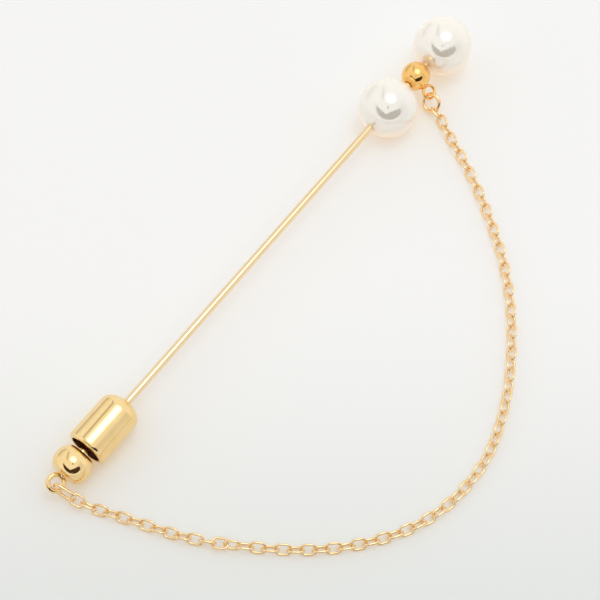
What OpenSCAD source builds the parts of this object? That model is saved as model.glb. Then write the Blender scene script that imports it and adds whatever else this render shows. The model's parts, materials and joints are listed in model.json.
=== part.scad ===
// Pin brooch: two pearls with a gold bead between them on a long pin, a slide-on
// clutch over the point, and a fine safety chain from the bead to the clutch.
// Millimetres, +Z up. The brooch lies on a flat surface at Z = 0 and the pin runs
// along X, with the pearls at the +X end. Stations are distances along the pin from
// the lower pearl's centre, positive towards the upper pearl.

/* [Pearls] */
// Diameter of each pearl
pearl_diameter = 8; // [7.9:0.1:8.1]
// Distance between the two pearls' centres
pearl_spacing = 12.65; // [12.65:0.05:13.5]

/* [Bead and its eye] */
// Diameter of the gold bead
bead_diameter = 3.9; // [3.6:0.1:4]
// Station of the bead's centre
bead_station = 6.4; // [6.35:0.05:6.45]
// Outer diameter of the wire eye soldered to the bead
eye_diameter = 2.2; // [2.1:0.05:2.3]
// Wire of the eye
eye_wire = 0.4; // [0.3:0.05:0.4]
// Distance from the pin's axis to the eye's centre
eye_reach = 2.9; // [2.85:0.05:2.95]
// Angle of the eye below the horizontal
eye_droop = 38; // [36:40]

/* [Pin] */
// Diameter of the pin
pin_diameter = 1; // [0.8:0.05:1.2]
// Clearance round the pin in each bore
bore_clearance = 0.05; // [0.04:0.01:0.08]
// Length of the conical point
point_length = 3; // [2:0.1:4]
// Length of the pin that the clutch hides
hidden_length = 4.2; // [3:0.1:4.4]

/* [Clutch shell] */
// Outer diameter of the shell
shell_diameter = 5.4; // [5.3:0.1:5.6]
// Length of the shell from its nose to its rear face
shell_length = 7.85; // [7.75:0.05:7.95]
// Length of bare pin between the lower pearl and the nose
bare_length = 49.7; // [49.6:0.05:49.8]
// Length of the domed nose
nose_length = 1.9; // [1.7:0.1:2.2]
// Radius of the rounding round the nose
nose_rounding = 1.5; // [1.2:0.05:1.6]
// Radius of the rounding round the rear rim
rim_rounding = 0.5; // [0.3:0.05:0.55]

/* [Clutch knob] */
// Diameter of the pull knob
knob_diameter = 5; // [4.8:0.1:5.2]
// Thickness of the pull knob
knob_thickness = 3.3; // [3.2:0.05:3.4]
// Radius of the knob's bulging side
knob_bulge = 2.15; // [2:0.05:2.3]
// Radius of the rounding round the knob's flat ends
knob_rounding = 0.4; // [0.3:0.05:0.5]
// Gap between the shell's rear face and the knob
knob_gap = 0.7; // [0.6:0.05:0.75]
// Diameter of the shank that carries the knob
shank_diameter = 1.1; // [1:0.1:1.4]
// Travel of the knob when it is pulled
knob_travel = 0.6; // [0.4:0.05:0.6]
// Outer diameter of the ring soldered to the knob
ring_diameter = 2.6; // [2.55:0.05:2.65]
// Wire of the ring
ring_wire = 0.6; // [0.5:0.05:0.6]
// Tilt of the ring's face from straight up towards the chain
ring_tilt = 38; // [37:39]

/* [Jump rings] */
// Outer diameter of the round jump ring at the bead
jump_ring_diameter = 2.85; // [2.8:0.05:2.9]
// Wire of the round jump ring
jump_ring_wire = 0.5; // [0.45:0.05:0.5]
// Outer length of the oval jump link at the clutch
oval_length = 3.4; // [3.35:0.05:3.45]
// Outer width of the oval jump link
oval_width = 1.9; // [1.85:0.05:2]
// Wire of the oval jump link
oval_wire = 0.4; // [0.35:0.05:0.4]

/* [Chain] */
// Number of chain links
link_count = 72; // [71:73]
// Outer length of a chain link
link_length = 2.26; // [2.24:0.01:2.28]
// Outer width of a chain link
link_width = 1.6; // [1.55:0.05:1.65]
// Wire of a chain link
link_wire = 0.32; // [0.3:0.01:0.32]

/* [Hidden] */
$fn = 96;

// Colours
PEARL = "#f4efe4";
PALE_GOLD = "#e6d19c";
BEAD_GOLD = "#dfb566";
CHAIN_GOLD = "#d9b47c";

// Place of the lower pearl's centre, with the whole outline centred on the origin
pearl_x = 25.7;
pin_y = 17.8;
pearl_z = pearl_diameter / 2;

// Stations along the pin
nose_station = -pearl_diameter / 2 - bare_length;
shell_rear = nose_station - shell_length;
knob_station = shell_rear - knob_gap - knob_thickness / 2;
point_station = nose_station - hidden_length;
pin_end = pearl_spacing + 1;

// The lower pearl and the shell's rear rim rest on the surface, so the pin slopes between them
rim_drop = pearl_z - shell_diameter / 2;
pin_slope = asin(rim_drop / -(shell_rear + rim_rounding));

// Bores and hollows; those of the shell are measured forward from its rear face
bore_diameter = pin_diameter + 2 * bore_clearance;
half_drilled_end = pin_end + bore_clearance;
recess_diameter = 4.2;
web_rear = 1.1;
web_front = 1.6;
guide_diameter = shank_diameter + 0.1;
chamber_diameter = 3.4;
chamber_front = shell_length - nose_length - 0.4;

// The knob's shank ends in a piston head inside the chamber, with room to travel
collar_diameter = 1.7;
collar_length = 0.35;
piston_diameter = 3.2;
piston_thickness = 0.8;
piston_rear = shell_rear + web_front + knob_travel + 0.1;
solder_diameter = 1;
ring_station = knob_station - knob_thickness / 2 - ring_diameter / 2 - 0.02;

// Centres of the two jump rings, and their turns about X, Y and Z
jump_ring_centre = [pearl_x + 5.7, pin_y - 3.3, 1.52];
jump_ring_turn = [52, 0, -94];
oval_centre = [pearl_x - 67.02, pin_y - 1.3, 1.8];
oval_turn = [72.8, 20, -80.4];

// Route of the chain's joints, from inside the bead's jump ring, over the surface,
// to inside the oval link at the clutch
CHAIN_ROUTE = [
    // x, y, z
    [31.02, 13.88, 1.09],
    [30.60, 12.42, 0.71],
    [29.50, 10.56, 0.63],
    [28.50, 8.80, 0.63],
    [26.00, 4.40, 0.63],
    [22.60, -0.60, 0.63],
    [18.00, -6.30, 0.63],
    [12.80, -11.20, 0.63],
    [7.30, -15.10, 0.63],
    [1.40, -18.30, 0.63],
    [-5.00, -20.50, 0.63],
    [-10.60, -20.90, 0.63],
    [-15.60, -20.10, 0.63],
    [-20.30, -18.10, 0.63],
    [-25.10, -14.60, 0.63],
    [-29.30, -10.10, 0.63],
    [-33.40, -4.00, 0.63],
    [-36.30, 1.30, 0.63],
    [-38.50, 7.30, 0.63],
    [-39.85, 11.24, 0.63],
    [-40.43, 12.71, 0.65],
    [-40.78, 13.97, 0.95],
    [-41.14, 15.47, 1.42]
];

// Neighbouring links lean to either side
link_lean = 45;

// How far the links have turned about the chain's own length, with a quarter turn near the clutch
CHAIN_TURNS = [
    // link, turn
    [58, 0],
    [62, -90],
    [70, -90],
    [72, -65]
];

// How far the turned links lift the joints after them
CHAIN_LIFTS = [
    // link, lift
    [56, 0],
    [58, 0.14],
    [62, 0.14],
    [64, 0]
];

// A point on the smooth curve through a list of points, t from 0 to the last index
function curve_point(list, t) =
    let (
        last = len(list) - 1,
        i = min(floor(t), last - 1),
        u = t - i,
        p1 = list[i],
        p2 = list[i + 1],
        p0 = i > 0 ? list[i - 1] : 2 * p1 - p2,
        p3 = i + 2 <= last ? list[i + 2] : 2 * p2 - p1
    )
    0.5 * (2 * p1 + (p2 - p0) * u + (2 * p0 - 5 * p1 + 4 * p2 - p3) * u * u
        + (3 * p1 - p0 - 3 * p2 + p3) * u * u * u);

// Samples of the route's curve, and the length of the curve up to each of them
curve_steps = 12;
sample_count = (len(CHAIN_ROUTE) - 1) * curve_steps;
samples = [for (i = [0:sample_count]) curve_point(CHAIN_ROUTE, i / curve_steps)];
lengths = [
    for (i = 0, run = 0; i <= sample_count;
        i = i + 1, run = i <= sample_count ? run + norm(samples[i] - samples[i - 1]) : run)
    run
];
link_pitch = lengths[sample_count] / link_count;
route_x = [for (i = [0:sample_count]) [lengths[i], samples[i].x]];
route_y = [for (i = [0:sample_count]) [lengths[i], samples[i].y]];
route_z = [for (i = [0:sample_count]) [lengths[i], samples[i].z]];

// The place where link i meets the next one; joint 0 is inside the bead's jump ring
function joint(i) =
    let (run = i * link_pitch)
    [lookup(run, route_x), lookup(run, route_y), lookup(run, route_z) + lookup(i, CHAIN_LIFTS)];

// The roll of link i about its own length
function link_roll(i) = (i % 2 == 0 ? link_lean : -link_lean) + lookup(i, CHAIN_TURNS);

// Puts its children on the pin's axis at a station, +Z along the pin towards the upper pearl
module along_pin(station) {
    translate([pearl_x, pin_y, pearl_z])
        rotate([0, 90 - pin_slope, 0])
            translate([0, 0, station])
                children();
}

// A closed round ring of wire in the XY plane
module wire_ring(outer_diameter, wire) {
    rotate_extrude()
        translate([(outer_diameter - wire) / 2, 0])
            circle(d = wire);
}

// A closed link of round wire in the XY plane, long along X: round ends and straight sides
module long_link(outer_length, outer_width, wire) {
    bend_radius = (outer_width - wire) / 2;
    side_length = outer_length - outer_width;
    for (turn = [0, 180])
        rotate([0, 0, turn]) {
            translate([side_length / 2, 0, 0])
                rotate([0, 0, -90])
                    rotate_extrude(angle = 180)
                        translate([bend_radius, 0])
                            circle(d = wire);
            translate([-side_length / 2, bend_radius, 0])
                rotate([0, 90, 0])
                    cylinder(d = wire, h = side_length);
        }
}

// Half the section of a button, its flat base on the X axis and its top on the Y axis:
// a rounded edge runs smoothly into a shallow domed cap
module domed_section(radius, height, rounding) {
    edge_x = radius - rounding;
    cap_radius = (height ^ 2 + edge_x ^ 2 - rounding ^ 2) / (2 * (height - rounding));
    cap_y = height - cap_radius;
    outward = 4 * [edge_x, -cap_y];
    intersection() {
        square([radius, height]);
        union() {
            translate([edge_x, 0])
                circle(r = rounding);
            intersection() {
                translate([0, cap_y])
                    circle(r = cap_radius);
                polygon([[0, cap_y], [outward.x, cap_y + outward.y], [0, cap_y + outward.y]]);
            }
        }
    }
}

module pin_stem() {
    color(PALE_GOLD) {
        along_pin(point_station + point_length)
            cylinder(d = pin_diameter, h = pin_end - point_station - point_length);
        along_pin(point_station)
            cylinder(d1 = 0.1, d2 = pin_diameter, h = point_length);
    }
}

module lower_pearl() {
    color(PEARL)
        along_pin(0)
            difference() {
                sphere(d = pearl_diameter);
                cylinder(d = bore_diameter, h = pearl_diameter + 1, center = true);
            }
}

module upper_pearl() {
    color(PEARL)
        difference() {
            along_pin(pearl_spacing)
                sphere(d = pearl_diameter);
            along_pin(pearl_spacing - pearl_diameter)
                cylinder(d = bore_diameter, h = half_drilled_end - pearl_spacing + pearl_diameter);
        }
}

module spacer_bead() {
    color(BEAD_GOLD)
        along_pin(bead_station)
            difference() {
                union() {
                    sphere(d = bead_diameter);
                    rotate([0, 0, eye_droop - 90])
                        translate([eye_reach, 0, 0])
                            rotate([90, 0, 0])
                                wire_ring(eye_diameter, eye_wire);
                }
                cylinder(d = bore_diameter, h = bead_diameter + 1, center = true);
            }
}

module bead_jump_ring() {
    color(CHAIN_GOLD)
        translate(jump_ring_centre)
            rotate(jump_ring_turn)
                wire_ring(jump_ring_diameter, jump_ring_wire);
}

// A link from one joint to the next, turned to face along the route
module chain_link(i) {
    from = joint(i - 1);
    span = joint(i) - from;
    heading = atan2(span.y, span.x);
    dip = -asin(span.z / norm(span));
    translate(from + span / 2)
        rotate([link_roll(i), dip, heading])
            long_link(link_length, link_width, link_wire);
}

module chain() {
    color(CHAIN_GOLD)
        for (i = [1:link_count])
            chain_link(i);
}

module clutch_jump_link() {
    color(CHAIN_GOLD)
        translate(oval_centre)
            rotate(oval_turn)
                long_link(oval_length, oval_width, oval_wire);
}

// Half the section of the shell, from its rear face up to its nose
module shell_section() {
    barrel_length = shell_length - nose_length;
    translate([0, barrel_length])
        domed_section(shell_diameter / 2, nose_length, nose_rounding);
    translate([0, rim_rounding])
        square([shell_diameter / 2, barrel_length - rim_rounding]);
    square([shell_diameter / 2 - rim_rounding, barrel_length]);
    translate([shell_diameter / 2 - rim_rounding, rim_rounding])
        circle(r = rim_rounding);
}

module clutch_shell() {
    color(PALE_GOLD)
        along_pin(shell_rear)
            difference() {
                rotate_extrude()
                    shell_section();
                cylinder(d = bore_diameter, h = shell_length + 1);
                cylinder(d = guide_diameter, h = web_front + 0.1);
                translate([0, 0, -1])
                    cylinder(d = recess_diameter, h = web_rear + 1);
                translate([0, 0, web_front])
                    cylinder(d = chamber_diameter, h = chamber_front - web_front);
            }
}

// A quarter of the section of the knob, a ball with flat ends
module knob_section() {
    bulge_x = knob_diameter / 2 - knob_bulge;
    end_y = knob_thickness / 2;
    edge_y = end_y - knob_rounding;
    edge_x = bulge_x + sqrt((knob_bulge - knob_rounding) ^ 2 - edge_y ^ 2);
    outward = 4 * [edge_x - bulge_x, edge_y];
    square([edge_x, end_y]);
    translate([edge_x, edge_y])
        circle(r = knob_rounding);
    intersection() {
        translate([bulge_x, 0])
            circle(r = knob_bulge);
        polygon([[bulge_x, 0], [bulge_x + outward.x, 0], [bulge_x + outward.x, outward.y]]);
    }
}

module clutch_knob() {
    half_thickness = knob_thickness / 2;
    shank_length = piston_rear - knob_station;
    color(PALE_GOLD) {
        along_pin(knob_station) {
            rotate_extrude() {
                knob_section();
                mirror([0, 1])
                    knob_section();
            }
            cylinder(d = collar_diameter, h = half_thickness + collar_length);
            cylinder(d = shank_diameter, h = shank_length + piston_thickness / 2);
            translate([0, 0, shank_length])
                cylinder(d = piston_diameter, h = piston_thickness);
        }
        along_pin(ring_station) {
            rotate([0, 0, ring_tilt])
                rotate([0, 90, 0])
                    wire_ring(ring_diameter, ring_wire);
            translate([0, 0, (ring_diameter - ring_wire) / 2])
                cylinder(d = solder_diameter, h = ring_wire);
        }
    }
}

pin_stem();
lower_pearl();
upper_pearl();
spacer_bead();
bead_jump_ring();
chain();
clutch_jump_link();
clutch_shell();
clutch_knob();
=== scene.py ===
"""Looks of a pin brooch: two pearls and a gold bead on a long pin, a slide-on clutch and a safety chain.

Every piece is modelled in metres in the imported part's own frame. The brooch lies on a pale surface at Z = 0,
its pin along X with the pearls at the +X end, and stations are distances along the pin from the lower
pearl's centre, in millimetres, positive towards the upper pearl.
"""

import json
import logging
import math
from dataclasses import dataclass
from enum import Enum
from itertools import pairwise

import bpy
from mathutils import Matrix, Vector

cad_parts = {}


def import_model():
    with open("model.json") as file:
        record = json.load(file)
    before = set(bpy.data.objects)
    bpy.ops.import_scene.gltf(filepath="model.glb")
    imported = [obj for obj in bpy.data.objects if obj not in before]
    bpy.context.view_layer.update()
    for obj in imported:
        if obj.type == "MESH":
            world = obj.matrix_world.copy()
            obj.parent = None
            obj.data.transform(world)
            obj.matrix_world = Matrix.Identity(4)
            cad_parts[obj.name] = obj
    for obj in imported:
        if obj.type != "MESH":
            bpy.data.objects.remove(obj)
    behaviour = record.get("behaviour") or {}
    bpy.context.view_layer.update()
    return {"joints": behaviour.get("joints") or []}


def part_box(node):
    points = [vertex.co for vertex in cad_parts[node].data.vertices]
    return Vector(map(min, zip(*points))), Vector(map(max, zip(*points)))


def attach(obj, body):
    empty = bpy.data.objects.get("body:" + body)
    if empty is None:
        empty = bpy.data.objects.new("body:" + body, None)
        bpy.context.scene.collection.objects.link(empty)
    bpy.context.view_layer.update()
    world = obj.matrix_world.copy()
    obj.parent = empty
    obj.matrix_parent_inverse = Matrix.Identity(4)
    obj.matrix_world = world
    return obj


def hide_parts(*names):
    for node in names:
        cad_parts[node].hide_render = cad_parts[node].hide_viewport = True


LOG = logging.getLogger("pin_brooch")
# Metres in a millimetre, metres within which corners are one, millimetres that a face may lie past a limit,
# faces round a turned piece, and depth of surface marks in millimetres.
MM = 0.001
WELD = 1e-6
SLACK = 0.01
TURN_STEPS = 96
MARK_DEPTH = 0.02

Piece = bpy.types.Object
Tree = bpy.types.NodeTree
Node = bpy.types.Node
Socket = bpy.types.NodeSocket
Material = bpy.types.Material
Pair = tuple[float, float]
Triple = tuple[float, float, float]


class Body(Enum):
    """The two bodies that pieces ride on."""

    BROOCH = "brooch"
    KNOB = "knob"


class Slot(Enum):
    """The record's material slots."""

    PEARL = "pearl"
    PALE_GOLD = "pale_gold"
    BEAD_GOLD = "bead_gold"
    CHAIN_GOLD = "chain_gold"


# Shaping


@dataclass
class Profile:
    """Outline of a turned piece, in millimetres from its axis and along it."""

    points: list[Pair]

    def line(self, radius: float, height: float) -> "Profile":
        """Goes straight to a point."""
        self.points.append((radius, height))
        return self

    def arc(self, centre: Pair, radius: float, start: float, end: float, steps: int) -> "Profile":
        """Follows an arc, from a start angle to an end angle in degrees.

        Args:
            centre: Distance of the arc's centre from the axis, and its height.
            radius: Radius of the arc.
            start: First angle, 0 pointing away from the axis and 90 up it.
            end: Last angle.
            steps: Number of straight pieces.

        Returns:
            The same profile, so that calls can follow each other.
        """
        for step in range(steps + 1):
            angle = math.radians(start + (end - start) * step / steps)
            self.line(centre[0] + radius * math.cos(angle), centre[1] + radius * math.sin(angle))
        return self


def drilled_ball(
    diameter: float, bore: float, lip: Pair, steps: int, bore_top: float | None = None
) -> Profile:
    """Draws half the section of a drilled ball.

    Args:
        diameter: Diameter of the ball.
        bore: Diameter of its bore.
        lip: Width and depth of the bevel at the bore's mouth.
        steps: Number of straight pieces round the ball.
        bore_top: Height of a blind bore's end above the centre, or None for a bore right through.

    Returns:
        The closed profile.
    """
    radius, side = diameter / 2, bore / 2
    mouth = math.degrees(math.acos((side + lip[0]) / radius))
    lip_height = radius * math.sin(math.radians(mouth)) - lip[1]
    top = mouth if bore_top is None else 90
    profile = Profile([(side, -lip_height)]).arc((0, 0), radius, -mouth, top, steps)
    if bore_top is None:
        return profile.line(side, lip_height).line(side, -lip_height)
    return profile.line(0, bore_top).line(side, bore_top).line(side, -lip_height)


def clear_selection() -> None:
    """Leaves nothing selected, so that an operator acts on the new piece alone."""
    if bpy.context.mode != "OBJECT":
        bpy.ops.object.mode_set(mode="OBJECT")
    bpy.ops.object.select_all(action="DESELECT")


def take(piece: Piece) -> None:
    """Selects one piece and makes it active.

    Args:
        piece: The piece to work on.
    """
    clear_selection()
    piece.select_set(True)
    bpy.context.view_layer.objects.active = piece


def opened(name: str) -> Piece:
    """Names the piece that was just added, and selects all its corners in edit mode.

    Args:
        name: Name of the piece.

    Returns:
        The piece.
    """
    piece = bpy.context.active_object
    piece.name = piece.data.name = name
    bpy.ops.object.mode_set(mode="EDIT")
    bpy.ops.mesh.select_mode(type="VERT")
    bpy.ops.mesh.select_all(action="SELECT")
    return piece


def close_up(piece: Piece) -> None:
    """Welds a spun mesh's seam and poles, turns its faces outwards and leaves edit mode.

    Args:
        piece: The piece, in edit mode.
    """
    bpy.ops.mesh.select_all(action="SELECT")
    bpy.ops.mesh.remove_doubles(threshold=WELD)
    bpy.ops.mesh.normals_make_consistent(inside=False)
    bpy.ops.object.mode_set(mode="OBJECT")
    take(piece)
    bpy.ops.object.transform_apply(location=True, rotation=True, scale=True)


def drawn(name: str, points: list[Triple]) -> Piece:
    """Draws a line by extruding one corner from point to point, and stays in edit mode.

    Args:
        name: Name of the new piece.
        points: Places along the line, in metres.

    Returns:
        The drawn piece.
    """
    clear_selection()
    bpy.ops.mesh.primitive_plane_add(size=MM, location=points[0])
    piece = opened(name)
    bpy.ops.mesh.merge(type="CENTER")
    for here, there in pairwise(points):
        step = tuple(end - start for start, end in zip(here, there))
        bpy.ops.mesh.extrude_region_move(TRANSFORM_OT_translate={"value": step})
    bpy.ops.mesh.select_all(action="SELECT")
    return piece


def turned(name: str, profile: Profile, steps: int = TURN_STEPS) -> Piece:
    """Draws a profile and spins it round the Z axis.

    Args:
        name: Name of the new piece.
        profile: Outline of the piece.
        steps: Number of faces round the axis.

    Returns:
        The closed turned piece.
    """
    piece = drawn(name, [(radius * MM, 0.0, height * MM) for radius, height in profile.points])
    bpy.ops.mesh.spin(steps=steps, angle=math.tau, center=(0, 0, 0), axis=(0, 0, 1))
    close_up(piece)
    return piece


def bent_wire(name: str, straight: float, bend: float, wire: float, sides: int, steps: int) -> Piece:
    """Bends round wire into a closed link or ring in the XY plane, long along X.

    Args:
        name: Name of the new piece.
        straight: Length of each straight side, 0 for a round ring.
        bend: Radius of the wire's centre line round each end.
        wire: Diameter of the wire.
        sides: Number of faces round the wire.
        steps: Number of faces along each end's half turn.

    Returns:
        The closed link.
    """
    clear_selection()
    half = straight / 2 * MM
    bpy.ops.mesh.primitive_circle_add(
        vertices=sides, radius=wire / 2 * MM, location=(half, bend * MM, 0), rotation=(0, math.pi / 2, 0)
    )
    piece = opened(name)
    for end in (half, -half):
        bpy.ops.mesh.spin(steps=steps, angle=math.pi, center=(end, 0, 0), axis=(0, 0, 1))
        if straight:
            bpy.ops.mesh.extrude_region_move(TRANSFORM_OT_translate={"value": (-2 * end, 0, 0)})
    close_up(piece)
    return piece


def place(piece: Piece, matrix: Matrix) -> Piece:
    """Moves a piece's mesh to its place and leaves its object at the origin.

    Args:
        piece: The piece, modelled round the origin.
        matrix: Its place.

    Returns:
        The same piece.
    """
    piece.data.transform(matrix)
    piece.data.update()
    return piece


def turned_to(centre: Triple, turn: Triple) -> Matrix:
    """Gives a place from a centre in millimetres and turns about X, then Y, then Z in degrees."""
    spin = [Matrix.Rotation(math.radians(angle), 4, axis) for angle, axis in zip(turn, "XYZ")]
    return Matrix.Translation(Vector(centre) * MM) @ spin[2] @ spin[1] @ spin[0]


def fuse(piece: Piece, *others: Piece) -> Piece:
    """Unites soldered pieces into one closed solid.

    Args:
        piece: The piece that is kept.
        others: The pieces that are soldered to it, and are used up.

    Returns:
        The kept piece.
    """
    for other in others:
        take(piece)
        union = piece.modifiers.new("solder", "BOOLEAN")
        union.operation = "UNION"
        union.solver = "EXACT"
        union.object = other
        bpy.ops.object.modifier_apply(modifier=union.name)
        bpy.data.objects.remove(other)
    return piece


def smooth(piece: Piece, angle: float = 32) -> Piece:
    """Shades a piece smooth.

    Args:
        piece: The piece.
        angle: Edges sharper than this many degrees stay sharp.

    Returns:
        The same piece.
    """
    take(piece)
    bpy.ops.object.shade_smooth_by_angle(angle=math.radians(angle))
    return piece


def hand_over(piece: Piece, finishes: list[Material], body: Body, node: str) -> None:
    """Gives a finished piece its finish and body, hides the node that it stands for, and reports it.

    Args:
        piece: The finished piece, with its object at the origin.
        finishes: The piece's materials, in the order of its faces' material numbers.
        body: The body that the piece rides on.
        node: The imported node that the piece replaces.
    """
    for finish in finishes:
        piece.data.materials.append(finish)
    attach(piece, body.value)
    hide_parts(node)
    low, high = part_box(node)
    spots = [(vertex.co[axis], axis) for vertex in piece.data.vertices for axis in range(3)]
    past = max(max(low[axis] - spot, spot - high[axis]) for spot, axis in spots)
    LOG.info("%s: %d faces, %.4f mm past its node's box", piece.name, len(piece.data.polygons), past / MM)


@dataclass(frozen=True)
class PinAxis:
    """The line that the pin, pearls, bead and clutch share."""

    origin: Vector
    direction: Vector

    def at(self, station: float, turn: float = 0) -> Matrix:
        """Gives the place of a turned piece on the pin.

        Args:
            station: Distance along the pin from the lower pearl's centre, in millimetres.
            turn: Turn about the pin in degrees; 0 leaves the piece's X axis pointing down.

        Returns:
            The matrix that takes the piece's Z axis along the pin, towards the upper pearl.
        """
        side = Vector((0, 1, 0))
        down = side.cross(self.direction)
        basis = Matrix((down, side, self.direction)).transposed().to_4x4()
        centre = Matrix.Translation(self.origin + self.direction * station * MM)
        return centre @ basis @ Matrix.Rotation(math.radians(turn), 4, "Z")


# Finishes


def feed(tree: Tree, socket: Socket, value: object) -> None:
    """Links another node's result into an input, or sets a plain value on it.

    Args:
        tree: The node tree.
        socket: The input.
        value: An output socket, or a plain value.
    """
    if isinstance(value, Socket):
        tree.links.new(value, socket)
    else:
        socket.default_value = value


def set_up(tree: Tree, node: Node, **settings: object) -> None:
    """Sets a node's properties and feeds its inputs by name.

    Args:
        tree: The node tree.
        node: The node.
        settings: Properties of the node; a name that isn't a property feeds the input of that name, with
            underscores for spaces.
    """
    for name, value in settings.items():
        if hasattr(node, name):
            setattr(node, name, value)
        else:
            feed(tree, node.inputs[name.replace("_", " ")], value)


def add_node(tree: Tree, kind: str, **settings: object) -> Node:
    """Adds a node and sets it up.

    Args:
        tree: The node tree.
        kind: The node's type name.
        settings: Properties and inputs, as set_up takes them.

    Returns:
        The new node.
    """
    node = tree.nodes.new(kind)
    set_up(tree, node, **settings)
    return node


def new_material(name: str) -> tuple[Material, Tree, Node]:
    """Makes a material with one surface shader.

    Args:
        name: Name of the material.

    Returns:
        The material, its node tree and its shader.
    """
    material = bpy.data.materials.new(name)
    material.use_nodes = True
    return material, material.node_tree, material.node_tree.nodes["Principled BSDF"]


def mixed(tree: Tree, factor: object, first: object, second: object) -> Socket:
    """Mixes two colours by a factor; each argument is a socket or a value.

    Args:
        tree: The node tree.
        factor: How much of the second colour shows.
        first: Colour at factor 0.
        second: Colour at factor 1.

    Returns:
        The mixed colour's socket.
    """
    node = add_node(tree, "ShaderNodeMix", data_type="RGBA")
    for socket, value in ((node.inputs[0], factor), (node.inputs[6], first), (node.inputs[7], second)):
        feed(tree, socket, value)
    return node.outputs[2]


def reckoned(tree: Tree, kind: str, operation: str, *values: object) -> Node:
    """Adds a node that works something out; each value is a socket or a plain value.

    Args:
        tree: The node tree.
        kind: The node's type name.
        operation: The node's operation.
        values: The operation's inputs, in order.

    Returns:
        The new node.
    """
    node = add_node(tree, kind, operation=operation)
    for socket, value in zip(node.inputs, values):
        feed(tree, socket, value)
    return node


def worked(tree: Tree, operation: str, *values: object) -> Socket:
    """Works out a number from others; each value is a socket or a number."""
    return reckoned(tree, "ShaderNodeMath", operation, *values).outputs["Value"]


def along(tree: Tree, place_of: Socket, axis: Vector) -> Socket:
    """Measures a position or a direction along an axis."""
    return reckoned(tree, "ShaderNodeVectorMath", "DOT_PRODUCT", place_of, axis).outputs["Value"]


def step_up(tree: Tree, value: Socket, low: float, high: float) -> Socket:
    """Turns a value into a soft step.

    Args:
        tree: The node tree.
        value: The value's socket.
        low: Value at which the step starts, which may be the larger of the two.
        high: Value at which it reaches 1.

    Returns:
        The step's socket.
    """
    ends = (1.0, 0.0) if low > high else (0.0, 1.0)
    step = add_node(
        tree, "ShaderNodeMapRange", interpolation_type="SMOOTHSTEP", Value=value, From_Min=min(low, high),
        From_Max=max(low, high), To_Min=ends[0], To_Max=ends[1],
    )
    return step.outputs["Result"]


def spread(tree: Tree, source: Socket, low: float, high: float) -> Socket:
    """Stretches a 0 to 1 value over a range, clamped at its ends."""
    return add_node(tree, "ShaderNodeMapRange", Value=source, To_Min=low, To_Max=high).outputs["Result"]


def noise(tree: Tree, place_of: Socket, scale: object, **settings: float) -> Socket:
    """Gives a cloudy value at a position; the settings are the noise node's own inputs."""
    clouds = add_node(tree, "ShaderNodeTexNoise", Vector=place_of, Scale=scale, **settings)
    return clouds.outputs["Fac"]


def bumped(tree: Tree, height: Socket, strength: float) -> Socket:
    """Turns a height mask into a surface direction."""
    bump = add_node(tree, "ShaderNodeBump", Strength=strength, Distance=MARK_DEPTH * MM, Height=height)
    return bump.outputs["Normal"]


def polish_group() -> Tree:
    """Hand polish on metal: faint cloudy burnish and fine wheel marks.

    Returns:
        A group that turns a position into roughness, height and a tone mask.
    """
    tree = bpy.data.node_groups.new("hand_polish", "ShaderNodeTree")
    tree.interface.new_socket(name="Position", in_out="INPUT", socket_type="NodeSocketVector")
    given_numbers = ("Cloud Scale", "Mark Scale", "Smooth", "Worn")
    for way, names in (("INPUT", given_numbers), ("OUTPUT", ("Roughness", "Height", "Tone"))):
        for name in names:
            tree.interface.new_socket(name=name, in_out=way, socket_type="NodeSocketFloat")
    given = add_node(tree, "NodeGroupInput").outputs
    cloud = noise(tree, given["Position"], given["Cloud Scale"], Detail=3.0, Roughness=0.55)
    stretch = add_node(tree, "ShaderNodeMapping", Vector=given["Position"], Scale=(0.35, 1.0, 1.0))
    marks = noise(
        tree, stretch.outputs["Vector"], given["Mark Scale"], Detail=4.0, Roughness=0.7, Distortion=0.4
    )
    rough = add_node(
        tree, "ShaderNodeMapRange", Value=worked(tree, "MULTIPLY", cloud, marks), From_Min=0.12,
        From_Max=0.45, To_Min=given["Smooth"], To_Max=given["Worn"],
    )
    tone = add_node(tree, "ShaderNodeMapRange", Value=cloud, From_Min=0.3, From_Max=0.7)
    add_node(
        tree, "NodeGroupOutput", Roughness=rough.outputs["Result"], Height=marks, Tone=tone.outputs["Result"]
    )
    return tree


@dataclass(frozen=True)
class GoldFinish:
    """A polished gold alloy with a hand finish, its marks' sizes in millimetres."""

    name: str
    bright: Triple
    deep: Triple
    smooth: float = 0.05
    worn: float = 0.16
    cloud_size: float = 1.6
    mark_size: float = 0.12
    bump: float = 0.04

    def make(self, polish: Tree, tone_layer: str = "") -> Material:
        """Builds the material.

        Args:
            polish: The shared hand polish group.
            tone_layer: Name of a mesh attribute that shifts the tone from piece to piece, if there is one.

        Returns:
            The finished material.
        """
        material, tree, shader = new_material(self.name)
        marks = add_node(
            tree, "ShaderNodeGroup", node_tree=polish,
            Position=add_node(tree, "ShaderNodeTexCoord").outputs["Object"],
            Cloud_Scale=1 / (self.cloud_size * MM), Mark_Scale=1 / (self.mark_size * MM),
            Smooth=self.smooth, Worn=self.worn,
        ).outputs
        tone = marks["Tone"]
        if tone_layer:
            shift = add_node(tree, "ShaderNodeAttribute", attribute_name=tone_layer).outputs["Fac"]
            tone = worked(tree, "ADD", spread(tree, tone, 0.0, 0.5), spread(tree, shift, 0.0, 0.5))
        set_up(
            tree, shader, Metallic=1.0, Base_Color=mixed(tree, tone, (*self.deep, 1), (*self.bright, 1)),
            Roughness=marks["Roughness"], Normal=bumped(tree, marks["Height"], self.bump),
        )
        return material


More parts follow.
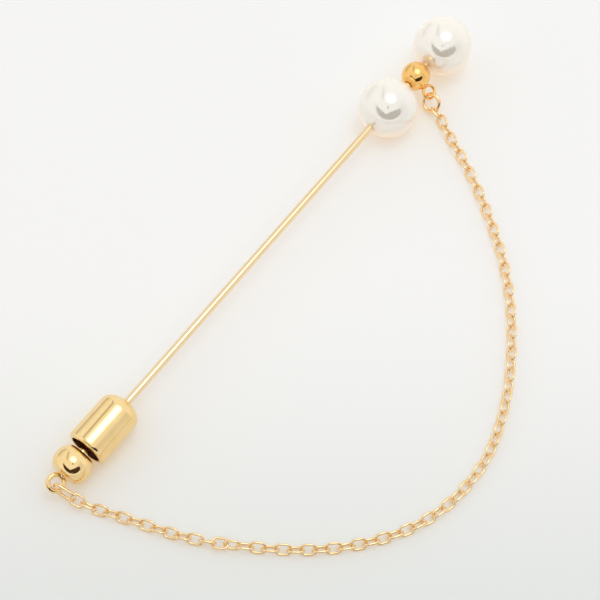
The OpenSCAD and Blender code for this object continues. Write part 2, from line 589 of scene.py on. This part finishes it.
@dataclass(frozen=True)
class PearlFinish:
    """Nacre: a cream body with a faint rose overtone under a mirror coat, and a painted glow that is warm on
    its underside; sizes in millimetres.
    """

    name: str
    cream: Triple
    rim: Triple
    rose: Triple
    # Emitted colours painted on the pearl: warm bounced light on its underside, and a faint glow on the rest
    painted_bounce: Triple
    glow: Triple
    seed: float
    # Heights in millimetres over which the painted underside light fades out
    painted_bounce_reach: Pair = (2.0, 6.0)
    cloud_size: float = 3.2
    ripple_size: float = 0.35
    bump: float = 0.05
    coat_index: float = 4.0
    coat_cover: Pair = (1.0, 0.3)
    gloss: Pair = (0.16, 0.3)
    rose_share: float = 0.5
    rim_share: float = 0.85
    bleed: float = 0.8

    def make(self) -> Material:
        """Builds the material: overtone in slow clouds, fine growth ripples, and emission painted as warm
        light bounced from below with a faint glow above it.

        Returns:
            The finished material.
        """
        material, tree, shader = new_material(self.name)
        place_of = add_node(tree, "ShaderNodeTexCoord").outputs["Object"]
        shifted = add_node(
            tree, "ShaderNodeMapping", Vector=place_of, Location=(self.seed, self.seed * 0.7, 0)
        ).outputs["Vector"]
        clouds = noise(tree, shifted, 1 / (self.cloud_size * MM), Detail=3.0, Roughness=0.5)
        ripples = noise(tree, shifted, 1 / (self.ripple_size * MM), Detail=5.0, Roughness=0.65)
        turned_away = add_node(tree, "ShaderNodeLayerWeight", Blend=0.35).outputs["Facing"]
        body = mixed(tree, spread(tree, clouds, 0.0, self.rose_share), (*self.cream, 1), (*self.rose, 1))
        edge = spread(tree, turned_away, 0.0, self.rim_share)
        # Painted light: the emission is the warm bounce colour low on the pearl and the faint glow colour
        # higher up
        under, above = (height * MM for height in self.painted_bounce_reach)
        low = step_up(tree, along(tree, place_of, Vector((0, 0, 1))), above, under)
        set_up(
            tree, shader, Base_Color=mixed(tree, edge, body, (*self.rim, 1)), IOR=1.6,
            Roughness=spread(tree, ripples, *self.gloss), Normal=bumped(tree, ripples, self.bump),
            Subsurface_Weight=0.2, Subsurface_Radius=(1.0, 0.75, 0.5), Subsurface_Scale=self.bleed * MM,
            Coat_Weight=spread(tree, turned_away, *self.coat_cover), Coat_IOR=self.coat_index,
            Coat_Roughness=0.07,
            Emission_Color=mixed(tree, low, (*self.glow, 1), (*self.painted_bounce, 1)), Emission_Strength=1.0,
        )
        return material


# Sub-assemblies


@dataclass
class PearlHead:
    """The pearls and the pin that carries them."""

    axis: PinAxis
    pearl_diameter: float = 8.0
    spacing: float = 12.65
    pin_diameter: float = 1.0
    bore_diameter: float = 1.03
    pin_end: float = 13.65
    pin_point: float = -57.9
    point_length: float = 3.0
    tip_radius: float = 0.05
    tip_bevel: float = 0.03
    # Share of the pin's radius and distance past the shoulder
    shoulder: tuple[Pair, ...] = ((0.82, -0.75), (0.97, -0.15), (1.0, 0.3))
    bands: int = 40
    end_margin: float = 0.1
    end_bevel: float = 0.06
    end_gap: float = 0.05
    drill_lip: Pair = (0.03, 0.03)
    rows: int = 64

    def build_pearl(self, name: str, station: float, bore_top: float | None) -> Piece:
        """Turns one pearl round its station, drilled through or up to bore_top."""
        profile = drilled_ball(self.pearl_diameter, self.bore_diameter, self.drill_lip, self.rows, bore_top)
        return smooth(place(turned(name, profile), self.axis.at(station)))

    def build_pin(self) -> Piece:
        """Turns the straight pin: conical point, rounded shoulder, barrel in even bands and bevelled end.

        Returns:
            The pin.
        """
        radius, shoulder = self.pin_diameter / 2, self.pin_point + self.point_length
        profile = Profile([(0, self.pin_point)]).line(self.tip_radius, self.pin_point + self.tip_bevel)
        for share, beyond in self.shoulder:
            profile.line(radius * share, shoulder + beyond)
        start, end = shoulder + self.shoulder[-1][1], self.pin_end - self.end_margin
        for band in range(1, self.bands):
            profile.line(radius, start + (end - start) * band / self.bands)
        profile.line(radius, self.pin_end - self.end_bevel).line(radius - self.end_bevel, self.pin_end)
        return smooth(place(turned("pin", profile.line(0, self.pin_end), steps=48), self.axis.at(0)))

    def build(self, pearls: list[Material], gold: Material) -> None:
        """Builds, dresses and hands over the pin and both pearls.

        Args:
            pearls: Finishes of the lower and the upper pearl.
            gold: Finish of the pin.
        """
        hand_over(self.build_pin(), [gold], Body.BROOCH, "pin_stem")
        lower = self.build_pearl("pearl_lower", 0, None)
        hand_over(lower, pearls[:1], Body.BROOCH, "lower_pearl")
        upper = self.build_pearl("pearl_upper", self.spacing, self.pin_end + self.end_gap - self.spacing)
        hand_over(upper, pearls[1:], Body.BROOCH, "upper_pearl")


@dataclass
class SpacerBead:
    """The gold bead between the pearls, with the wire eye soldered to it and the jump ring in the eye."""

    axis: PinAxis
    station: float = 6.4
    diameter: float = 3.9
    bore_diameter: float = 1.1
    drill_lip: Pair = (0.12, 0.072)
    eye_diameter: float = 2.2
    eye_wire: float = 0.4
    eye_reach: float = 2.9
    eye_droop: float = 38.0
    # Radius and distance from the bead's middle
    solder: tuple[Pair, ...] = (
        (0, 1.7), (0.62, 1.72), (0.46, 1.9), (0.34, 2.02), (0.24, 2.14), (0, 2.16),
    )
    ring_diameter: float = 2.85
    ring_wire: float = 0.5
    ring_centre: Triple = (31.4, 14.5, 1.52)
    ring_turn: Triple = (52.0, 0.0, -94.0)

    def build_bead(self) -> Piece:
        """Turns the drilled bead and solders the eye to its side.

        Returns:
            The bead with its eye.
        """
        bead = turned("bead", drilled_ball(self.diameter, self.bore_diameter, self.drill_lip, steps=48))
        eye = bent_wire("eye", 0, (self.eye_diameter - self.eye_wire) / 2, self.eye_wire, sides=20, steps=32)
        place(eye, Matrix.Translation((self.eye_reach * MM, 0, 0)) @ Matrix.Rotation(math.pi / 2, 4, "X"))
        drop = turned("solder", Profile(list(self.solder)), steps=32)
        place(drop, Matrix.Rotation(math.pi / 2, 4, "Y"))
        for part in (eye, drop):
            place(part, Matrix.Rotation(math.radians(self.eye_droop - 90), 4, "Z"))
        return smooth(place(fuse(bead, drop, eye), self.axis.at(self.station)))

    def build_ring(self) -> Piece:
        """Bends the round jump ring and hangs it in the eye.

        Returns:
            The jump ring.
        """
        bend = (self.ring_diameter - self.ring_wire) / 2
        ring = bent_wire("jump_ring", 0, bend, self.ring_wire, sides=20, steps=36)
        return smooth(place(ring, turned_to(self.ring_centre, self.ring_turn)))

    def build(self, bead_gold: Material, chain_gold: Material) -> None:
        """Builds, dresses and hands over the bead with its eye, and the jump ring.

        Args:
            bead_gold: Finish of the bead.
            chain_gold: Finish of the jump ring.
        """
        hand_over(self.build_bead(), [bead_gold], Body.BROOCH, "spacer_bead")
        hand_over(self.build_ring(), [chain_gold], Body.BROOCH, "bead_jump_ring")


@dataclass
class SafetyChain:
    """The cable chain that lies on the surface from the bead to the clutch, and the oval link at its end."""

    # Places on the chain's line, from the jump ring to the oval link
    route: tuple[Triple, ...] = (
        (31.02, 13.88, 1.09), (30.60, 12.42, 0.71), (29.50, 10.56, 0.63), (28.50, 8.80, 0.63),
        (26.00, 4.40, 0.63), (22.60, -0.60, 0.63), (18.00, -6.30, 0.63), (12.80, -11.20, 0.63),
        (7.30, -15.10, 0.63), (1.40, -18.30, 0.63), (-5.00, -20.50, 0.63), (-10.60, -20.90, 0.63),
        (-15.60, -20.10, 0.63), (-20.30, -18.10, 0.63), (-25.10, -14.60, 0.63), (-29.30, -10.10, 0.63),
        (-33.40, -4.00, 0.63), (-36.30, 1.30, 0.63), (-38.50, 7.30, 0.63), (-39.85, 11.24, 0.63),
        (-40.43, 12.71, 0.65), (-40.78, 13.97, 0.95), (-41.14, 15.47, 1.42),
    )
    # Number of a link and its turn in degrees, or its lift in millimetres
    turns: tuple[Pair, ...] = ((58, 0), (62, -90), (70, -90), (72, -65))
    lifts: tuple[Pair, ...] = ((56, 0), (58, 0.14), (62, 0.14), (64, 0))
    count: int = 72
    lean: float = 45.0
    length: float = 2.26
    width: float = 1.6
    wire: float = 0.32
    curve_steps: int = 12
    crease: float = 60.0
    tone_stride: float = 0.618
    oval_length: float = 3.4
    oval_width: float = 1.9
    oval_wire: float = 0.4
    oval_centre: Triple = (-41.32, 16.5, 1.8)
    oval_turn: Triple = (72.8, 20.0, -80.4)

    @staticmethod
    def looked_up(table: tuple[Pair, ...], key: float) -> float:
        """Reads a table of keys and values, with straight lines between its rows and level ends.

        Args:
            table: Rows of a key and a value, in rising order.
            key: The key to look up.

        Returns:
            The value at the key.
        """
        if key <= table[0][0]:
            return table[0][1]
        for (low, first), (high, second) in pairwise(table):
            if key <= high:
                return first + (second - first) * (key - low) / (high - low)
        return table[-1][1]

    def curve_point(self, t: float) -> Vector:
        """Gives a point on the smooth curve that passes through every place of the route.

        Args:
            t: Position on the curve, from 0 to the route's last index.

        Returns:
            The point, in millimetres.
        """
        points = [Vector(point) for point in self.route]
        last = len(points) - 1
        i = min(int(t), last - 1)
        u = t - i
        b, c = points[i], points[i + 1]
        a = points[i - 1] if i else 2 * b - c
        d = points[i + 2] if i + 2 <= last else 2 * c - b
        square, cube = 2 * a - 5 * b + 4 * c - d, 3 * b - a - 3 * c + d
        return 0.5 * (2 * b + (c - a) * u + square * u**2 + cube * u**3)

    def joints(self) -> list[Vector]:
        """Gives the places where links meet, evenly spaced along the route.

        Returns:
            One more place than there are links, in millimetres.
        """
        total = (len(self.route) - 1) * self.curve_steps
        samples = [self.curve_point(i / self.curve_steps) for i in range(total + 1)]
        runs = [0.0]
        for here, there in pairwise(samples):
            runs.append(runs[-1] + (there - here).length)
        tables = [tuple(zip(runs, (sample[axis] for sample in samples))) for axis in range(3)]
        found = []
        for i in range(self.count + 1):
            run = runs[-1] * i / self.count
            point = Vector([self.looked_up(table, run) for table in tables])
            found.append(point + Vector((0, 0, self.looked_up(self.lifts, i))))
        return found

    def link_place(self, i: int, start: Vector, end: Vector) -> Matrix:
        """Gives a link's place between its two joints.

        Args:
            i: Number of the link, from 1.
            start: Joint before it.
            end: Joint after it.

        Returns:
            The matrix that lays the link along its span, leaning to its own side.
        """
        span = end - start
        roll = (-self.lean if i % 2 else self.lean) + self.looked_up(self.turns, i)
        dip = -math.degrees(math.asin(span.z / span.length))
        heading = math.degrees(math.atan2(span.y, span.x))
        return turned_to(tuple(start + span / 2), (roll, dip, heading))

    def build_chain(self) -> Piece:
        """Bends one link, copies it along the route, and joins the links into the chain.

        Returns:
            The chain, with a slightly different tone for each link.
        """
        bend = (self.width - self.wire) / 2
        model = bent_wire("chain", self.length - self.width, bend, self.wire, sides=12, steps=10)
        model.data.attributes.new("link_tone", "FLOAT", "POINT")
        links = []
        for i, (start, end) in enumerate(pairwise(self.joints()), 1):
            link = model.copy()
            link.data = model.data.copy()
            bpy.context.scene.collection.objects.link(link)
            place(link, self.link_place(i, start, end))
            tones = [i * self.tone_stride % 1] * len(link.data.vertices)
            link.data.attributes["link_tone"].data.foreach_set("value", tones)
            links.append(link)
        bpy.data.objects.remove(model)
        take(links[0])
        for link in links[1:]:
            link.select_set(True)
        bpy.ops.object.join()
        chain = bpy.context.active_object
        chain.name = chain.data.name = "safety_chain"
        return smooth(chain, self.crease)

    def build_oval(self) -> Piece:
        """Bends the oval link that joins the chain to the clutch's ring.

        Returns:
            The oval link.
        """
        bend, straight = (self.oval_width - self.oval_wire) / 2, self.oval_length - self.oval_width
        oval = bent_wire("oval_link", straight, bend, self.oval_wire, sides=16, steps=20)
        return smooth(place(oval, turned_to(self.oval_centre, self.oval_turn)))

    def build(self, chain_gold: Material, oval_gold: Material) -> None:
        """Builds, dresses and hands over the chain and the oval link.

        Args:
            chain_gold: Finish of the chain, with its links' own tones.
            oval_gold: Finish of the oval link.
        """
        hand_over(self.build_chain(), [chain_gold], Body.BROOCH, "chain")
        hand_over(self.build_oval(), [oval_gold], Body.BROOCH, "clutch_jump_link")


@dataclass
class Clutch:
    """The slide-on clutch over the pin's point: a hollow shell and a sprung pull knob with its ring."""

    axis: PinAxis
    # Millimetres, the shell's heights over its rear and the knob's over its middle
    rear: float = -61.55
    length: float = 7.85
    diameter: float = 5.4
    nose_length: float = 1.9
    nose_rounding: float = 1.5
    rim_rounding: float = 0.5
    bore: float = 1.1
    bore_bevel: float = 0.08
    recess: float = 4.2
    recess_bevel: float = 0.06
    web_rear: float = 1.1
    web_front: float = 1.6
    guide: float = 1.2
    chamber: float = 3.4
    chamber_front: float = 5.55
    knob_station: float = -63.9
    knob_diameter: float = 5.0
    knob_thickness: float = 3.3
    knob_bulge: float = 2.15
    knob_rounding: float = 0.4
    collar: float = 1.7
    collar_length: float = 0.35
    edge_bevel: float = 0.05
    shank: float = 1.1
    shank_length: float = 4.65
    piston: float = 3.2
    piston_thickness: float = 0.8
    ring_station: float = -66.87
    ring_diameter: float = 2.6
    ring_wire: float = 0.6
    ring_tilt: float = 38.0
    # Radius and height over the knob's rear
    solder: tuple[Pair, ...] = (
        (0, -0.42), (0.34, -0.4), (0.4, -0.22), (0.5, -0.08), (0.68, 0.06), (0, 0.1),
    )

    @staticmethod
    def dome(radius: float, height: float, rounding: float) -> Triple:
        """Works out a flat dome: a wide cap with a rounded edge.

        Args:
            radius: Radius of the dome's base.
            height: Height of the dome.
            rounding: Radius of its edge.

        Returns:
            The cap's radius, its centre's height above the dome's base and the angle where edge meets cap.
        """
        edge = radius - rounding
        cap = (height**2 + edge**2 - rounding**2) / (2 * (height - rounding))
        return cap, height - cap, math.degrees(math.atan2(cap - height, edge))

    def build_shell(self) -> Piece:
        """Turns the hollow shell: rounded rim, barrel, domed nose, bore, chamber, guide hole and recess.

        Returns:
            The shell, its inner faces set to the second material, which paints shade inside it.
        """
        radius, barrel = self.diameter / 2, self.length - self.nose_length
        widths = (self.bore, self.chamber, self.guide, self.recess)
        bore, chamber, guide, recess = (width / 2 for width in widths)
        cap, cap_height, meet = self.dome(radius, self.nose_length, self.nose_rounding)
        cap_end = math.degrees(math.acos((bore + self.bore_bevel) / cap))
        nose = barrel + cap_height + cap * math.sin(math.radians(cap_end))
        profile = Profile([(recess + self.recess_bevel, 0)])
        profile.arc((radius - self.rim_rounding, self.rim_rounding), self.rim_rounding, -90, 0, steps=12)
        profile.arc((radius - self.nose_rounding, barrel), self.nose_rounding, 0, meet, steps=18)
        profile.arc((0, barrel + cap_height), cap, meet, cap_end, steps=14)
        profile.line(bore, nose - self.bore_bevel)
        profile.line(bore, self.chamber_front).line(chamber, self.chamber_front)
        profile.line(chamber, self.web_front).line(guide, self.web_front)
        profile.line(guide, self.web_rear).line(recess, self.web_rear)
        profile.line(recess, self.recess_bevel).line(recess + self.recess_bevel, 0)
        shell = turned("clutch_body", profile)
        # Faces inside the recess, guide hole and chamber take the dark material: painted shade
        for face in shell.data.polygons:
            inside = face.center.xy.length < (recess + SLACK) * MM
            face.material_index = int(inside and face.center.z < (self.chamber_front + SLACK) * MM)
        return smooth(place(shell, self.axis.at(self.rear)))

    def build_knob(self) -> Piece:
        """Turns the ball-shaped knob with its shank and piston head, and solders the ring to its rear.

        Returns:
            The knob with its ring.
        """
        half, rounding, bevel = self.knob_thickness / 2, self.knob_rounding, self.edge_bevel
        middle, side = self.knob_diameter / 2 - self.knob_bulge, half - rounding
        reach = math.sqrt((self.knob_bulge - rounding) ** 2 - side**2)
        edge, meet = middle + reach, math.degrees(math.atan2(side, reach))
        profile = Profile([(0, -half)]).line(edge / 2, -half)
        profile.arc((edge, -side), rounding, -90, -meet, steps=8)
        profile.arc((middle, 0), self.knob_bulge, -meet, meet, steps=48)
        profile.arc((edge, side), rounding, meet, 90, steps=8)
        collar, shank, piston = self.collar / 2, self.shank / 2, self.piston / 2
        collar_top, head = half + self.collar_length, self.shank_length
        top = head + self.piston_thickness
        profile.line(collar, half).line(collar, collar_top - bevel).line(collar - bevel, collar_top)
        profile.line(shank, collar_top).line(shank, head).line(piston - bevel, head)
        profile.line(piston, head + bevel).line(piston, top - bevel).line(piston - bevel, top).line(0, top)
        knob = place(turned("clutch_pull", profile), self.axis.at(self.knob_station))
        bend = (self.ring_diameter - self.ring_wire) / 2
        ring = bent_wire("pull_ring", 0, bend, self.ring_wire, sides=24, steps=36)
        place(ring, self.axis.at(self.ring_station, self.ring_tilt) @ Matrix.Rotation(math.pi / 2, 4, "Y"))
        base = self.knob_station - half - self.ring_station
        solder = Profile([(radius, base + height) for radius, height in self.solder])
        foot = place(turned("solder", solder, steps=48), self.axis.at(self.ring_station))
        return smooth(fuse(knob, foot, ring))

    def build(self, gold: Material, inner: Material) -> None:
        """Builds, dresses and hands over the shell and the knob.

        Args:
            gold: Finish of the outside and the knob.
            inner: Dark gold painted on the shell's inside as shade.
        """
        hand_over(self.build_shell(), [gold, inner], Body.BROOCH, "clutch_shell")
        hand_over(self.build_knob(), [gold], Body.KNOB, "clutch_knob")


# Studio


@dataclass
class Studio:
    """The pale surface, the soft white tent round it, its dark opening, the softbox and the camera."""

    # Camera: degrees, millimetres, and metres for clip
    target: Triple = (-2.86, 10.63, 0.0)
    azimuth: float = -52.31
    elevation: float = 62.5
    distance: float = 200.0
    lens: float = 93.54
    sensor: float = 36.0
    clip: Pair = (0.005, 20.0)
    # Paper: metres; its colour painted dimmer towards the camera as light falloff, and a painted warm glow
    # that lifts its shadows
    paper_size: float = 1.6
    paper_pale: Triple = (0.462, 0.680, 0.832)
    paper_painted_dim: Triple = (0.266, 0.517, 0.653)
    paper_painted_glow: Triple = (0.47, 0.26, 0.12)
    paper_painted_falloff: Pair = (-0.06, 0.01)
    fibre_scale: float = 900.0
    fleck_share: float = 0.9
    # Tent: rows of height and brightness, and where its parts begin along the direction looked in
    near_side: tuple[Pair, ...] = (
        (0.0, 0.85), (0.2, 0.81), (0.3, 0.79), (0.47, 0.76), (0.55, 0.77), (0.62, 0.83), (0.7, 0.91),
        (0.77, 0.95), (0.82, 0.93), (0.88, 0.85), (0.93, 0.88), (1.0, 0.96),
    )
    far_side: tuple[Pair, ...] = (
        (0.0, 0.50), (0.1, 0.59), (0.22, 0.74), (0.34, 0.86), (0.45, 0.93), (0.54, 0.97), (1.0, 0.97),
    )
    far_from: Pair = (-0.05, 0.10)
    open_tone: float = 0.97
    open_right: Pair = (0.40, 0.62)
    open_left: Pair = (-0.05, -0.35)
    shade_tint: Triple = (1.0, 0.93, 0.84)
    light_tint: Triple = (1.0, 1.0, 0.985)
    seam_normal: Triple = (-0.527, 0.7625, -0.3746)
    seam_reach: Pair = (0.11, 0.04)
    seam_depth: float = 0.42
    # Opening: its outline as the lower pearl mirrors it, in ball radii, and lengths in millimetres
    opening: Triple = (0.06, 0.035, 0.02)
    opening_distance: float = 1500.0
    opening_centre: Pair = (0.04, 0.0)
    opening_reach: Pair = (0.43, 0.40)
    opening_notch: Pair = (-0.05, -0.22)
    opening_end: Pair = (0.39, 0.01)
    opening_arc: tuple[int, int, int] = (172, 349, 8)
    lens_radius: float = 15.0
    lens_setback: float = 1.02
    # Softbox: millimetres, and its brightness at the edge and in the middle
    key_centre: Triple = (84.0, -41.0, 490.0)
    key_reach: Pair = (17.0, 222.0)
    key_tones: Pair = (0.95, 3.2)
    key_tint: Triple = (1.0, 0.99, 0.96)

    def towards_camera(self) -> Vector:
        """Gives the direction from the target to the camera."""
        a, e = math.radians(self.azimuth), math.radians(self.elevation)
        return Vector((math.sin(a) * math.cos(e), -math.cos(a) * math.cos(e), math.sin(e)))

    def camera_point(self) -> Vector:
        """Gives the camera's place, in metres."""
        return (Vector(self.target) + self.towards_camera() * self.distance) * MM

    @staticmethod
    def glowing(tree: Tree, shader: Node, colour: object) -> None:
        """Makes a surface give off a colour and mirror nothing."""
        set_up(tree, shader, Base_Color=(0, 0, 0, 1), Specular_IOR_Level=0.0)
        set_up(tree, shader, Emission_Color=colour, Emission_Strength=1.0)

    def build_floor(self) -> None:
        """Lays the matt paper, with a painted warm glow that lifts and warms its shadows, and its colour
        painted a little dimmer towards the camera as light falloff.
        """
        clear_selection()
        bpy.ops.mesh.primitive_plane_add(size=self.paper_size, location=(0, 0, 0))
        floor = opened("paper")
        bpy.ops.mesh.subdivide(number_cuts=3)
        bpy.ops.object.mode_set(mode="OBJECT")
        paper, tree, shader = new_material("matt_paper")
        place_of = add_node(tree, "ShaderNodeTexCoord").outputs["Object"]
        # Painted light falloff: the paper's colour dims towards the camera
        back = self.towards_camera()
        beyond = along(tree, place_of, -Vector((back.x, back.y, 0)).normalized())
        painted_falloff = step_up(tree, beyond, *self.paper_painted_falloff)
        tone = mixed(tree, painted_falloff, (*self.paper_painted_dim, 1), (*self.paper_pale, 1))
        flecks = spread(tree, noise(tree, place_of, self.fibre_scale, Detail=4.0), 0.0, 0.04)
        # Painted glow: the emission lifts and warms the paper's shadows, and the paper's bluish colour keeps
        # lit paper neutral under it
        set_up(
            tree, shader, Emission_Color=(*self.paper_painted_glow, 1), Emission_Strength=1.0, Roughness=0.85,
            Base_Color=mixed(tree, flecks, tone, (*(self.fleck_share * part for part in self.paper_painted_dim), 1)),
            Specular_IOR_Level=0.2,
        )
        floor.data.materials.append(paper)

    @staticmethod
    def by_height(tree: Tree, height: Socket, stops: tuple[Pair, ...]) -> Socket:
        """Gives one side of the tent its brightness by height.

        Args:
            tree: The world's node tree.
            height: The height looked at, 0 level and 1 straight up.
            stops: Heights and the brightness there.

        Returns:
            The brightness as a grey colour's socket.
        """
        ramp = add_node(tree, "ShaderNodeValToRGB")
        marks = ramp.color_ramp.elements
        for position, _ in stops[1:-1]:
            marks.new(position)
        for mark, (position, tone) in zip(marks, stops):
            mark.position = position
            mark.color = (tone, tone, tone, 1)
        tree.links.new(height, ramp.inputs["Fac"])
        return ramp.outputs["Color"]

    def build_tent(self) -> None:
        """Wraps the scene in a white tent, warmer where shaded, with bright sides and a far seam."""
        world = bpy.data.worlds.new("tent")
        bpy.context.scene.world = world
        world.use_nodes = True
        tree = world.node_tree
        way = add_node(tree, "ShaderNodeTexCoord").outputs["Generated"]
        across, deep, height = (along(tree, way, Vector(axis)) for axis in ((1, 0, 0), (0, 1, 0), (0, 0, 1)))
        near, beyond = (self.by_height(tree, height, stops) for stops in (self.near_side, self.far_side))
        far = step_up(tree, deep, *self.far_from)
        right, left = (step_up(tree, across, *reach) for reach in (self.open_right, self.open_left))
        sides = worked(tree, "MAXIMUM", right, left)
        grey = mixed(tree, sides, mixed(tree, far, near, beyond), (*[self.open_tone] * 3, 1))
        off_seam = worked(tree, "ABSOLUTE", along(tree, way, Vector(self.seam_normal)))
        between = worked(tree, "MAXIMUM", worked(tree, "SUBTRACT", far, sides), 0.0)
        seam = worked(tree, "MULTIPLY", step_up(tree, off_seam, *self.seam_reach), between)
        grey = mixed(tree, worked(tree, "MULTIPLY", seam, self.seam_depth), grey, (0, 0, 0, 1))
        tint = mixed(tree, spread(tree, grey, 0.0, 1.0), (*self.shade_tint, 1), (*self.light_tint, 1))
        tone = reckoned(tree, "ShaderNodeVectorMath", "MULTIPLY", grey, tint)
        tree.links.new(tone.outputs["Vector"], tree.nodes["Background"].inputs["Color"])

    def mirrored_at(self, aside: float, above: float) -> Triple:
        """Gives the point, on the opening's plane, that the lower pearl mirrors at a place on its face.

        Args:
            aside: Distance right of the pearl's middle, in ball radii.
            above: Distance above it.

        Returns:
            The point on the plane, in metres from the line of sight to the pearl.
        """
        reach = math.hypot(aside, above)
        out = math.tan(2 * math.asin(reach)) / reach * self.opening_distance * MM
        return aside * out, above * out, 0.0

    def stand_behind(self, card: Piece, name: str, material: Material, place_at: Matrix) -> None:
        """Puts a card of the studio in its place, out of the camera's own sight.

        Args:
            card: The card, modelled round the origin.
            name: Its name.
            material: Its material.
            place_at: Its place.
        """
        card.name = card.data.name = name
        card.data.materials.append(material)
        place(card, place_at)
        card.visible_camera = False

    @staticmethod
    def facing(start: Vector, seen_from: Vector, distance: float) -> Matrix:
        """Gives the place of a card that faces a point squarely.

        Args:
            start: The point, in metres.
            seen_from: A second point on the line that the card stands across, in metres.
            distance: The card's distance from the point, in millimetres.

        Returns:
            The matrix that takes the card's Z axis along the line.
        """
        back = (seen_from - start).normalized()
        right = Vector((-back.y, back.x, 0)).normalized()
        basis = Matrix((right, back.cross(right), back)).transposed().to_4x4()
        return Matrix.Translation(start + back * distance * MM) @ basis

    def build_opening(self, pearl: Vector) -> None:
        """Cuts the tent's dark opening, a notched crescent, and stands the lens behind the camera.

        Args:
            pearl: Centre of the lower pearl, whose mirror image of the opening gives its shape.
        """
        dark, tree, shader = new_material("dark_opening")
        self.glowing(tree, shader, (*self.opening, 1))
        (middle, level), (half_width, half_height) = self.opening_centre, self.opening_reach
        rim = [math.radians(angle) for angle in range(*self.opening_arc)]
        (low_x, low_y), (end_x, end_y) = self.opening_notch, self.opening_end
        places = [self.opening_notch]
        places += [(middle + half_width * math.cos(t), level + half_height * math.sin(t)) for t in rim]
        places += [(end_x + (low_x - end_x) * t, end_y + (low_y - end_y) * t) for t in (0, 0.25, 0.5, 0.75)]
        card = drawn("opening", [self.mirrored_at(*spot) for spot in places])
        bpy.ops.mesh.edge_face_add()
        bpy.ops.object.mode_set(mode="OBJECT")
        bpy.ops.object.transform_apply(location=True, rotation=True, scale=True)
        camera = self.camera_point()
        self.stand_behind(card, "opening", dark, self.facing(pearl, camera, self.opening_distance))
        clear_selection()
        bpy.ops.mesh.primitive_circle_add(vertices=32, radius=self.lens_radius * MM, fill_type="NGON")
        lens_place = self.facing(Vector(self.target) * MM, camera, self.distance * self.lens_setback)
        self.stand_behind(bpy.context.active_object, "lens", dark, lens_place)

    def build_key(self) -> None:
        """Hangs the round softbox nearly overhead, brightest in its middle."""
        glow, tree, shader = new_material("softbox")
        centre = Vector(self.key_centre) * MM
        place_of = add_node(tree, "ShaderNodeTexCoord").outputs["Object"]
        reach = reckoned(tree, "ShaderNodeVectorMath", "DISTANCE", place_of, centre).outputs["Value"]
        inner, outer = (length * MM for length in self.key_reach)
        edge_tone, middle_tone = ((*(tone * part for part in self.key_tint), 1) for tone in self.key_tones)
        self.glowing(tree, shader, mixed(tree, step_up(tree, reach, outer, inner), edge_tone, middle_tone))
        clear_selection()
        bpy.ops.mesh.primitive_circle_add(vertices=96, radius=outer, fill_type="NGON")
        self.stand_behind(bpy.context.active_object, "softbox", glow, Matrix.Translation(centre))

    def build_camera(self) -> None:
        """Sets the camera at the viewing angle of the picture."""
        bpy.ops.object.camera_add(location=self.camera_point())
        camera = bpy.context.active_object
        camera.rotation_mode = "QUATERNION"
        camera.rotation_quaternion = (-self.towards_camera()).to_track_quat("-Z", "Y")
        camera.data.lens, camera.data.sensor_width = self.lens, self.sensor
        camera.data.clip_start, camera.data.clip_end = self.clip
        bpy.context.scene.camera = camera

    def build(self, pearl: Vector) -> None:
        """Builds the whole studio and sets plain colour handling.

        Args:
            pearl: Centre of the lower pearl, in metres.
        """
        self.build_floor()
        self.build_tent()
        self.build_opening(pearl)
        self.build_key()
        self.build_camera()
        bpy.context.scene.view_settings.view_transform = "Standard"
        LOG.info("studio: paper floor, lit tent and camera")


def main(frame: dict) -> None:
    """Builds the sub-assemblies in order and dresses them.
    """
    low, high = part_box("lower_pearl")
    push = Vector(frame["joints"][0]["axis"])
    axis = PinAxis(origin=(low + high) / 2, direction=-push.normalized())
    polish = polish_group()
    clutch_gold = GoldFinish("pale_gold", bright=(0.99, 0.75, 0.39), deep=(0.96, 0.70, 0.33))
    bead_gold = GoldFinish("bead_gold", bright=(0.98, 0.62, 0.22), deep=(0.95, 0.56, 0.18))
    pin_gold = GoldFinish("pin_gold", bright=(0.985, 0.78, 0.49), deep=(0.96, 0.74, 0.44))
    chain_gold = GoldFinish("chain_gold", bright=(0.98, 0.77, 0.47), deep=(0.94, 0.67, 0.37), worn=0.2)
    # Dark gold painted on the shell's inside as the shade in its recess
    inner = GoldFinish(
        "recess_painted_shade", bright=(0.30, 0.16, 0.12), deep=(0.20, 0.11, 0.08), smooth=0.25, worn=0.5
    )
    # Each pearl's emission paints warm bounced light on its underside and a faint glow elsewhere
    pearls = [
        PearlFinish(
            "pearl", cream=(0.93, 0.89, 0.82), rim=(0.93, 0.86, 0.76), rose=(0.91, 0.85, 0.77),
            painted_bounce=(0.19, 0.08, 0.0), glow=(0.03, 0.025, 0.01), seed=0.013,
        ),
        PearlFinish(
            "pearl_upper", cream=(0.96, 0.91, 0.84), rim=(0.95, 0.87, 0.76), rose=(0.93, 0.84, 0.75),
            painted_bounce=(0.22, 0.09, 0.0), glow=(0.04, 0.03, 0.01), seed=0.047,
        ),
    ]
    PearlHead(axis).build([pearl.make() for pearl in pearls], pin_gold.make(polish))
    ring_finish = chain_gold.make(polish)
    SpacerBead(axis).build(bead_gold.make(polish), ring_finish)
    SafetyChain().build(chain_gold.make(polish, "link_tone"), ring_finish)
    Clutch(axis).build(clutch_gold.make(polish), inner.make(polish))
    Studio().build(axis.origin)


if __name__ == "__main__":
    logging.basicConfig(level=logging.INFO, format="%(message)s")
    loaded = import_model()
    main(loaded)
